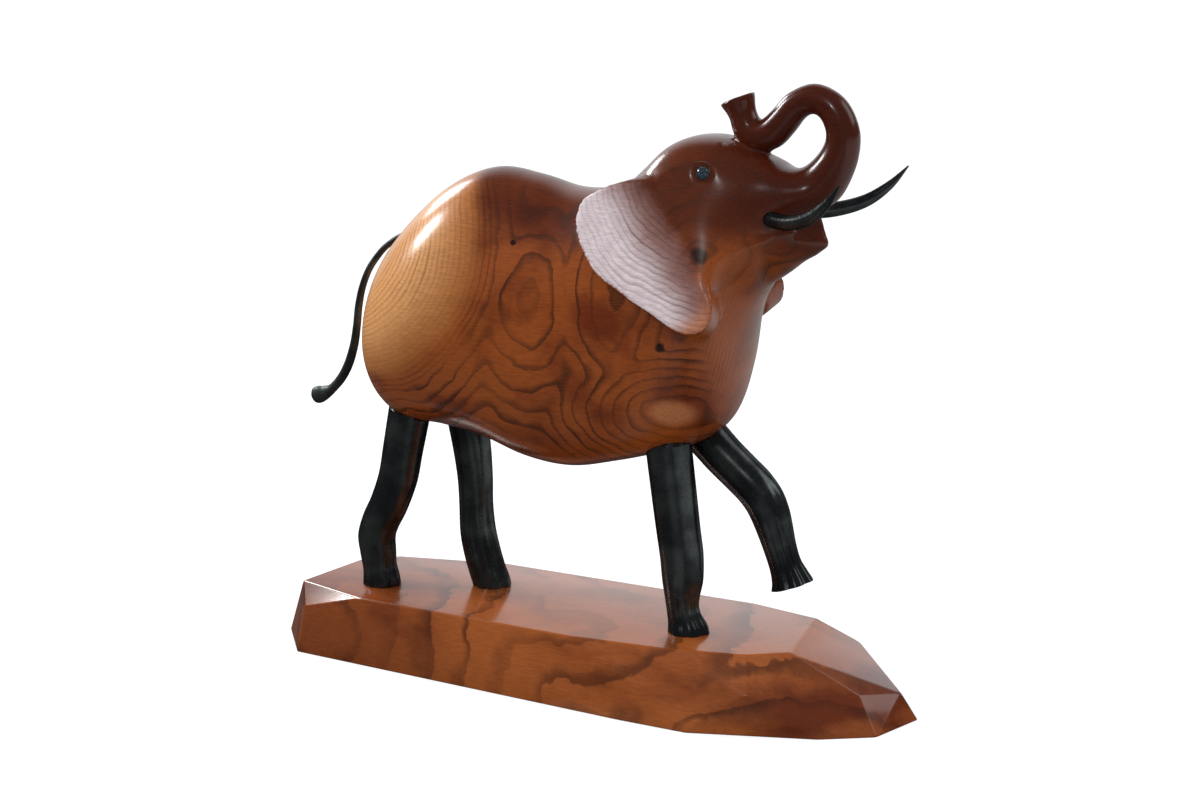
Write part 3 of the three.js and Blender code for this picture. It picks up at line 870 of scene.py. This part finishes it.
def bodyMaterial():
    material, tree, shader, coords = newMaterial("polishedBodyWood")
    field, fields = distanceField(tree, coords, bodyWood["centres"], bodyWood["centreBlend"])
    ring = ringsOf(tree, coords, field, bodyWood["rings"])
    fine = ringsOf(tree, coords, fields[0], bodyWood["closeRings"])
    u, v, x, z = earPlane(tree, coords)
    drift = mathNode(tree, "SUBTRACT", noiseNode(tree, coords, 18.0, 2.0), 0.5)
    reach = mathNode(tree, "MULTIPLY_ADD", drift, 0.014, fields[0])
    edge = bodyWood["sapwoodReach"] * mm
    sapwood = mapNode(tree, reach, edge - 0.01, edge + 0.002, 1.0, 0.0)
    pale = mapNode(tree, reach, edge - 0.04, edge - 0.004, 1.0, 0.0)
    cloud = mapNode(tree, noiseNode(tree, coords, 24.0, 4.0), 0.42, 0.68)
    flank = mixNode(tree, cloud, bodyWood["flank"], bodyWood["flankDeep"])
    # painted shade: the flank grows darker towards the belly
    low = mapNode(tree, z, *bodyWood["bellyShadeFrom"], 1.0, 0.0)
    flank = mixNode(tree, times(tree, low, 0.6), flank, bodyWood["flankDeep"])
    forward = mathNode(tree, "MULTIPLY_ADD", z, 0.55, x)
    forward = mathNode(tree, "MULTIPLY_ADD", drift, 0.05, forward)
    flank = mixNode(tree, mapNode(tree, forward, *bodyWood["headFrom"]), flank, bodyWood["head"])
    crest = mapNode(tree, mathNode(tree, "MULTIPLY_ADD", drift, 0.05, z), *bodyWood["crestFrom"])
    flank = mixNode(tree, times(tree, crest, 0.8), flank, bodyWood["crest"])
    heart = bodyWood["paleHeart"]
    _, (fromHeart,) = distanceField(tree, coords, [{**heart, "start": 0}], 1)
    light = mapNode(tree, fromHeart, heart["reach"] * 0.4 * mm, heart["reach"] * mm, 0.8, 0.0)
    flank = mixNode(tree, light, flank, bodyWood["heart"])
    rump = mixNode(tree, pale, bodyWood["rumpEdge"], bodyWood["rump"])
    colour = mixNode(tree, sapwood, flank, rump)
    # wide dark rings in the heartwood, and close ones from the rump to just past the sapwood
    closeRings = mapNode(tree, reach, edge + 0.002, edge + 0.012, 1.0, 0.0)
    heartLine = times(tree, ring["Line"], mathNode(tree, "SUBTRACT", 1.0, closeRings))
    _, (chestField,) = distanceField(tree, coords, [bodyWood["chestCentre"]], 1)
    chestRing = ringsOf(tree, coords, chestField, bodyWood["chestRings"])
    onChest = mapNode(tree, mathNode(tree, "MULTIPLY_ADD", drift, 0.02, x), *bodyWood["chestFrom"])
    underThroat = mapNode(tree, z, *bodyWood["throatFrom"], 1.0, 0.0)
    onChest = times(tree, onChest, underThroat)
    heartLine = times(tree, heartLine, mathNode(tree, "SUBTRACT", 1.0, onChest))
    chestLine = times(tree, times(tree, chestRing["Line"], onChest), 0.6)
    colour = mixNode(tree, chestLine, colour, bodyWood["line"])
    boldness = mapNode(tree, z, *bodyWood["paleCrown"], *bodyWood["boldness"])
    colour = mixNode(tree, times(tree, heartLine, boldness), colour, bodyWood["line"])
    closeLine = times(tree, fine["Line"], closeRings)
    lineColour = mixNode(tree, sapwood, bodyWood["line"], bodyWood["rumpLine"])
    colour = mixNode(tree, times(tree, closeLine, 0.75), colour, lineColour)
    for centre, radius in bodyWood["knots"]:
        away = vectorNode(tree, "DISTANCE", coords, tuple(inRow(centre)))
        wobble = mathNode(tree, "SUBTRACT", noiseNode(tree, coords, 300.0, 2.0), 0.5)
        away = mathNode(tree, "MULTIPLY_ADD", wobble, 0.002, away)
        spot = mapNode(tree, away, radius * 0.55 * mm, radius * mm, 1.0, 0.0)
        colour = mixNode(tree, times(tree, spot, 0.92), colour, bodyWood["knot"])
    # the ear's face brings its painted sheen into the body's colour
    earColourWithSheen, earFace = earLayer(tree, coords, u, v)
    colour = mixNode(tree, earFace, colour, earColourWithSheen)
    rough = mapNode(tree, earFace, 0.0, 1.0, *bodyWood["roughness"])
    finishWood(tree, shader, colour, ring, rough, bodyWood)
    coat = mapNode(tree, earFace, 0.0, 1.0, *bodyWood["coat"])
    tree.links.new(coat, shader.inputs["Coat Weight"])
    return material


baseWood = {
    "light": (0.38, 0.1, 0.02),
    "dark": (0.15, 0.027, 0.005),
    "crack": {"at": (-49.5, 45, -0.3), "scale": (0.25, 1.2, 1), "reach": 1.7},
    "line": (0.05, 0.01, 0.003),
    "rings": (15, 32, 10.0),
    "centreBlend": 14,
    "ringWeight": 0.8,
    "crackWeight": 0.85,
    "cloudStretch": (0.5, 1.0, 1.3),
    "cloudScale": 18.0,
    "cloudFrom": (0.48, 0.78),
    "rearShade": (-0.14, -0.03, 0.6, 0.0),
    "headShade": (0.13, 0.17, 0.0, 0.5),
    "speck": (0.85, 1.1),
    "roughness": 0.2,
    "coat": 0.5,
    "coatRoughness": 0.1,
    "centres": [
        {"at": (-168, -60, -20), "scale": (0.5, 0.45, 0.45), "start": 0},
        {"at": (10, -90, 60), "scale": (0.6, 0.4, 0.7), "start": 22},
        {"at": (152, -60, -82), "scale": (0.7, 0.5, 0.8), "start": 34},
    ],
}


def baseMaterial():
    material, tree, shader, coords = newMaterial("satinBaseWood")
    field, _ = distanceField(tree, coords, baseWood["centres"], baseWood["centreBlend"])
    ring = ringsOf(tree, coords, field, baseWood["rings"])
    streaks = vectorNode(tree, "MULTIPLY", coords, baseWood["cloudStretch"])
    cloud = noiseNode(tree, streaks, baseWood["cloudScale"], 4.0, 0.5)
    cloud = mapNode(tree, cloud, *baseWood["cloudFrom"])
    split = tree.nodes.new("ShaderNodeSeparateXYZ")
    tree.links.new(coords, split.inputs[0])
    rearEnd = mapNode(tree, split.outputs["X"], *baseWood["rearShade"])
    headEnd = mapNode(tree, split.outputs["X"], *baseWood["headShade"])
    cloud = mathNode(tree, "ADD", cloud, mathNode(tree, "ADD", rearEnd, headEnd))
    colour = mixNode(tree, cloud, baseWood["light"], baseWood["dark"])
    arcs = times(tree, ring["Line"], baseWood["ringWeight"])
    colour = mixNode(tree, arcs, colour, baseWood["line"])
    crack = baseWood["crack"]
    _, (fromCrack,) = distanceField(tree, coords, [{**crack, "start": 0}], 1)
    edge = crack["reach"] * mm
    dark = mapNode(tree, fromCrack, edge * 0.4, edge, baseWood["crackWeight"], 0.0)
    colour = mixNode(tree, dark, colour, baseWood["line"])
    finishWood(tree, shader, colour, ring, baseWood["roughness"], baseWood)
    shader.inputs["Coat Weight"].default_value = baseWood["coat"]
    return material


metalLook = {
    "tint": (0.13, 0.146, 0.144),
    "deep": (0.055, 0.062, 0.066),
    "wearAndSheen": (0.5, 0.46, 0.4),
    "wearAndSheenFrom": (0.52, 0.6),
    "wearAndSheenWeight": 0.5,
    "edgeTint": (0.3, 0.31, 0.32, 1),
    "metallic": 0.9,
    "roughness": (0.2, 0.3),
    "mottleScale": 520.0,
    "patchScale": 60.0,
    "dents": {"scale": 110.0, "strength": 0.14, "depth": 0.5},
    "coat": 0.1,
    "coatRoughness": 0.15,
}
tailDullness = 0.28


def metalMaterial(name, dullness=0.0):
    material, tree, shader, coords = newMaterial(name)
    geometry = tree.nodes.new("ShaderNodeNewGeometry")
    mottle = noiseNode(tree, coords, metalLook["mottleScale"], 4.0, 0.6)
    patch = noiseNode(tree, coords, metalLook["patchScale"], 3.0)
    # lighter on sharp ridges: rubbed edge wear, and also a painted highlight where the ridges catch the light
    ridge = mapNode(tree, geometry.outputs["Pointiness"], *metalLook["wearAndSheenFrom"])
    wearAndSheen = times(tree, ridge, mapNode(tree, mottle, 0.45, 0.7))
    shade = mixNode(tree, mapNode(tree, patch, 0.35, 0.7), metalLook["deep"], metalLook["tint"])
    wearAndSheen = times(tree, wearAndSheen, metalLook["wearAndSheenWeight"])
    colour = mixNode(tree, wearAndSheen, shade, metalLook["wearAndSheen"])
    tree.links.new(colour, shader.inputs["Base Color"])
    shader.inputs["Metallic"].default_value = metalLook["metallic"]
    shader.inputs["Specular Tint"].default_value = metalLook["edgeTint"]
    rough = mapNode(tree, mottle, 0.3, 0.7, *(value + dullness for value in metalLook["roughness"]))
    tree.links.new(rough, shader.inputs["Roughness"])
    bump = tree.nodes.new("ShaderNodeBump")
    dents = metalLook["dents"]
    bump.inputs["Strength"].default_value = dents["strength"]
    bump.inputs["Distance"].default_value = dents["depth"] * mm
    tree.links.new(noiseNode(tree, coords, dents["scale"], 2.0), bump.inputs["Height"])
    tree.links.new(bump.outputs[0], shader.inputs["Normal"])
    shader.inputs["Coat Weight"].default_value = metalLook["coat"]
    shader.inputs["Coat Roughness"].default_value = metalLook["coatRoughness"]
    return material


beadLook = {
    "dark": (0.012, 0.022, 0.03),
    "light": (0.04, 0.065, 0.08),
    "cloudScale": 500.0,
    "roughness": 0.04,
    "coatRoughness": 0.02,
}


def beadMaterial():
    material, tree, shader, coords = newMaterial("polishedBead")
    cloud = mapNode(tree, noiseNode(tree, coords, beadLook["cloudScale"], 2.0), 0.3, 0.7)
    colour = mixNode(tree, cloud, beadLook["dark"], beadLook["light"])
    tree.links.new(colour, shader.inputs["Base Color"])
    shader.inputs["Roughness"].default_value = beadLook["roughness"]
    shader.inputs["Coat Weight"].default_value = 1.0
    shader.inputs["Coat Roughness"].default_value = beadLook["coatRoughness"]
    return material


blackened = metalMaterial("blackenedMetal")
dulled = metalMaterial("dullMetal", tailDullness)


# Tusks and tail: rods along a path

rodLook = {"sides": 40, "steps": 8, "thinnest": 0.25}
tusk = {
    "path": [
        (116, -12, 247),
        (124.2, -19.2, 244.8),
        (141, -31, 244.5),
        (157.5, -41, 249),
        (170, -48, 258),
        (179.5, -53.6, 269.3),
    ],
    "radii": [4.4, 4.4, 4.3, 3.7, 2.5, 0.4],
    "flat": None,
    "finish": blackened,
}
tail = {
    "path": [
        (-110, 0, 221),
        (-123.5, 0, 217),
        (-134.4, 0, 210.2),
        (-141, 0, 203.7),
        (-147.8, 0, 194.6),
        (-152.9, 0, 183.2),
        (-155.9, 0, 171),
        (-157.5, 0, 159),
        (-159.8, 0, 146.8),
        (-164.1, 0, 134.4),
        (-169.7, 0, 124.8),
        (-176.5, 0, 117.6),
        (-181.8, 0, 114.4),
        (-186.4, 0, 112.6),
        (-190.2, 0, 111.6),
        (-192.2, 0, 111.1),
    ],
    "radii": [1.8, 1.8, 1.9, 2, 2.1, 2.2, 2.4, 2.5, 2.7, 2.9, 2.9, 3, 4.4, 5.5, 4.6, 1.4],
    "flat": {"from": -176, "over": 8, "thin": 0.6},
    "finish": dulled,
}


def taperedRod():
    # sweeps a round section along the curve, as thick as each point's radius says
    group, given, made = nodeGroup(
        "taperedRod",
        [
            ("Path", "NodeSocketGeometry", None),
            ("Thickness", "NodeSocketFloat", 1.0),
            ("Sides", "NodeSocketInt", rodLook["sides"]),
            ("Finish", "NodeSocketMaterial", None),
        ],
        [("Rod", "NodeSocketGeometry")],
        "GeometryNodeTree",
    )
    given, made = given.outputs, made.inputs
    section = group.nodes.new("GeometryNodeCurvePrimitiveCircle")
    group.links.new(given["Sides"], section.inputs["Resolution"])
    group.links.new(given["Thickness"], section.inputs["Radius"])
    radius = group.nodes.new("GeometryNodeInputRadius")
    sweep = group.nodes.new("GeometryNodeCurveToMesh")
    sweep.inputs["Fill Caps"].default_value = True
    group.links.new(given["Path"], sweep.inputs["Curve"])
    group.links.new(section.outputs["Curve"], sweep.inputs["Profile Curve"])
    group.links.new(radius.outputs[0], sweep.inputs["Scale"])
    realise = group.nodes.new("GeometryNodeRealizeInstances")
    finish = group.nodes.new("GeometryNodeSetMaterial")
    group.links.new(sweep.outputs["Mesh"], realise.inputs["Geometry"])
    group.links.new(realise.outputs["Geometry"], finish.inputs["Geometry"])
    group.links.new(given["Finish"], finish.inputs["Material"])
    group.links.new(finish.outputs["Geometry"], made["Rod"])
    return group


rodTree = taperedRod()


def rod(name, plan, side=1):
    rows = [(*point, radius) for point, radius in zip(plan["path"], plan["radii"])]
    rows = smoothRows(rows, rodLook["steps"])
    points = inRow(rows[:, :3] * (1, side, 1))
    path = bpy.data.curves.new(name + "Path", "CURVE")
    path.dimensions = "3D"
    spline = path.splines.new("POLY")
    spline.points.add(len(points) - 1)
    for spot, place, radius in zip(spline.points, points, rows[:, 3]):
        spot.co = (*place, 1)
        spot.radius = max(radius, rodLook["thinnest"])
    guide = linked(name + "Path", path)
    sweep = guide.modifiers.new("rod", "NODES")
    sweep.node_group = rodTree
    sockets = [item for item in rodTree.interface.items_tree if item.in_out == "INPUT"]
    inputs = {item.name: item.identifier for item in sockets}
    sweep[inputs["Thickness"]] = mm
    sweep[inputs["Sides"]] = rodLook["sides"]
    sweep[inputs["Finish"]] = plan["finish"]
    mesh = bpy.data.meshes.new_from_object(guide.evaluated_get(bpy.context.evaluated_depsgraph_get()))
    bpy.data.objects.remove(guide)
    piece = linked(name, mesh)
    outwards(piece)
    if plan["flat"]:
        flattenKnob(piece, plan["flat"])
    cut(piece, bellyCutter)
    smoothShade(piece)
    return piece


def flattenKnob(piece, flat):
    # the knob is thinner across than it is tall
    for vert in piece.data.vertices:
        share = min(max((flat["from"] * mm - vert.co.x) / (flat["over"] * mm), 0), 1)
        vert.co.y *= 1 - (1 - flat["thin"]) * share


metalPieces["tusk_right"] = rod("tusk_right_metal", tusk)
metalPieces["tusk_left"] = rod("tusk_left_metal", tusk, -1)
metalPieces["tail"] = rod("tail_metal", tail)
for cutter in (bellyCutter, groundCutter):
    bpy.data.objects.remove(cutter)

eyes = {
    "eye_right": ellipsoid("eye_right_bead", eyeCentre, [eyeRadius] * 3, 64, 32),
    "eye_left": ellipsoid("eye_left_bead", eyeCentre * (1, -1, 1), [eyeRadius] * 3, 64, 32),
}
for bead in eyes.values():
    smoothShade(bead)
print("rods and beads made")


# Base: the frame's block with its cut edges softened

baseLook = {
    "edge": 1.4 * mm,
    "edgeSteps": 4,
    "edgeFrom": math.radians(6),
    "flatness": math.radians(4),
    "lowFacet": {"at": (100, -67.6, -42.3), "faces": (0.312, -0.94, 0.139)},
}


def softenedBase():
    bm = bmesh.new()
    bm.from_mesh(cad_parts["base"].data)
    bmesh.ops.remove_doubles(bm, verts=bm.verts, dist=0.01 * mm)
    bmesh.ops.dissolve_limit(bm, angle_limit=baseLook["flatness"], verts=bm.verts, edges=bm.edges)
    facet = baseLook["lowFacet"]
    whole = bm.verts[:] + bm.edges[:] + bm.faces[:]
    place = tuple(inRow(facet["at"]))
    sliced = bmesh.ops.bisect_plane(bm, geom=whole, plane_co=place, plane_no=facet["faces"], clear_outer=True)
    rim = [part for part in sliced["geom_cut"] if isinstance(part, bmesh.types.BMEdge)]
    bmesh.ops.contextual_create(bm, geom=rim)
    bmesh.ops.recalc_face_normals(bm, faces=bm.faces)
    piece = fromBmesh("carvedBase", bm)
    bevel = piece.modifiers.new("bevel", "BEVEL")
    bevel.width = baseLook["edge"]
    bevel.segments = baseLook["edgeSteps"]
    bevel.limit_method = "ANGLE"
    bevel.angle_limit = baseLook["edgeFrom"]
    bevel.harden_normals = True
    smoothShade(piece)
    bake(piece)
    return piece


base = softenedBase()
print("base made")


def dress(piece, material, node):
    piece.data.materials.clear()
    piece.data.materials.append(material)
    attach(piece, "root")
    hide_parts(node)


dress(body, bodyMaterial(), "carved_body")
dress(base, baseMaterial(), "base")
for name, piece in metalPieces.items():
    dress(piece, dulled if name == "tail" else blackened, name)
bead = beadMaterial()
for name, piece in eyes.items():
    dress(piece, bead, name)
print("materials set")


# Pale floor, white surroundings that are darker on the viewer's side, and four soft lights

studio = {
    "floorHalf": 30,
    "floorRoughness": 0.9,
    "floorSpecular": 0.1,
    "floorBehind": (0.8, 0.6, 0),
    "floorFront": (0.36, -0.93, 0),
    "floorColour": (0.34, 0.34, 0.35),
    "floorMirrored": (0.02, 0.02, 0.02),
    "floorWhite": 0.72,
    "floorGlow": 0.42,
    "frontGlow": 0.16,
    "mirroredLeast": 0.02,
    "backdrop": 1.15,
    "skyLight": (0.4, 1.2),
    "behind": (-0.36, 0.9, 0.24),
    "darkSide": 0.035,
    "brightSide": 0.8,
    "skyColour": (0.97, 0.97, 1.0, 1),
}

# name, direction from the object, distance, size, power
softboxes = [
    ("windowLeft", (-0.77, 0.345, 0.53), 1.5, (0.34, 0.34), 7),
    ("windowTop", (-0.82, -0.168, 0.543), 1.6, (0.36, 0.36), 10),
    ("right", (0.71, 0.34, 0.61), 1.63, (0.8, 0.8), 3.0),
    ("catchlight", (0.2, -0.8, 0.56), 1.6, (0.08, 0.08), 1.1),
]


def addFloor():
    # the floor is white to the camera and where its far part is mirrored, but throws little light upwards
    half = studio["floorHalf"]
    corners = [(-half, -half, 0), (half, -half, 0), (half, half, 0), (-half, half, 0)]
    floor = newObject("floor", corners, [(0, 1, 2, 3)])
    material, tree, shader, place = newMaterial("paleFloor")
    shader.inputs["Roughness"].default_value = studio["floorRoughness"]
    shader.inputs["Specular IOR Level"].default_value = studio["floorSpecular"]
    shader.inputs["Emission Color"].default_value = (1, 1, 1, 1)
    path = tree.nodes.new("ShaderNodeLightPath").outputs
    behind = mapNode(tree, vectorNode(tree, "DOT_PRODUCT", place, studio["floorBehind"]), 0.1, 0.6)
    colour = mixNode(tree, path["Is Glossy Ray"], studio["floorColour"], studio["floorMirrored"])
    tree.links.new(colour, shader.inputs["Base Color"])
    front = vectorNode(tree, "DOT_PRODUCT", vectorNode(tree, "NORMALIZE", place), studio["floorFront"])
    front = mapNode(tree, front, 0.93, 0.998, studio["mirroredLeast"], studio["frontGlow"])
    mirrored = mathNode(tree, "MULTIPLY_ADD", behind, studio["floorGlow"], front)
    glow = times(tree, mirrored, path["Is Glossy Ray"])
    glow = mathNode(tree, "MULTIPLY_ADD", path["Is Camera Ray"], studio["floorWhite"], glow)
    tree.links.new(glow, shader.inputs["Emission Strength"])
    floor.data.materials.append(material)


def addWorld():
    # shiny surfaces see white behind the object and dark towards the photographer
    world = bpy.data.worlds.new("studio")
    scene.world = world
    world.use_nodes = True
    tree = world.node_tree
    background = tree.nodes["Background"]
    coords = tree.nodes.new("ShaderNodeTexCoord").outputs["Generated"]
    split = tree.nodes.new("ShaderNodeSeparateXYZ")
    tree.links.new(coords, split.inputs[0])
    behind = vectorNode(tree, "DOT_PRODUCT", coords, studio["behind"])
    glow = mapNode(tree, behind, 0.6, 0.93, studio["darkSide"], studio["brightSide"])
    sky = mapNode(tree, split.outputs["Z"], -0.1, 0.8, *studio["skyLight"])
    path = tree.nodes.new("ShaderNodeLightPath")
    strength = glow
    for ray, value in (("Is Diffuse Ray", sky), ("Is Camera Ray", studio["backdrop"])):
        choice = tree.nodes.new("ShaderNodeMix")
        tree.links.new(path.outputs[ray], choice.inputs[0])
        tree.links.new(strength, choice.inputs[2])
        if isinstance(value, float):
            choice.inputs[3].default_value = value
        else:
            tree.links.new(value, choice.inputs[3])
        strength = choice.outputs[0]
    background.inputs["Color"].default_value = studio["skyColour"]
    tree.links.new(strength, background.inputs["Strength"])


def addSoftbox(name, direction, distance, size, power):
    data = bpy.data.lights.new(name, "AREA")
    data.shape = "RECTANGLE"
    data.size, data.size_y = size
    data.energy = power
    light = linked(name, data)
    direction = Vector(direction).normalized()
    light.location = Vector(photoView["target"]) + direction * distance
    light.rotation_euler = direction.to_track_quat("Z", "Y").to_euler()
    light.visible_camera = False


addFloor()
addWorld()
for softbox in softboxes:
    addSoftbox(*softbox)
scene.view_settings.view_transform = "Standard"
print("stage and lights set")
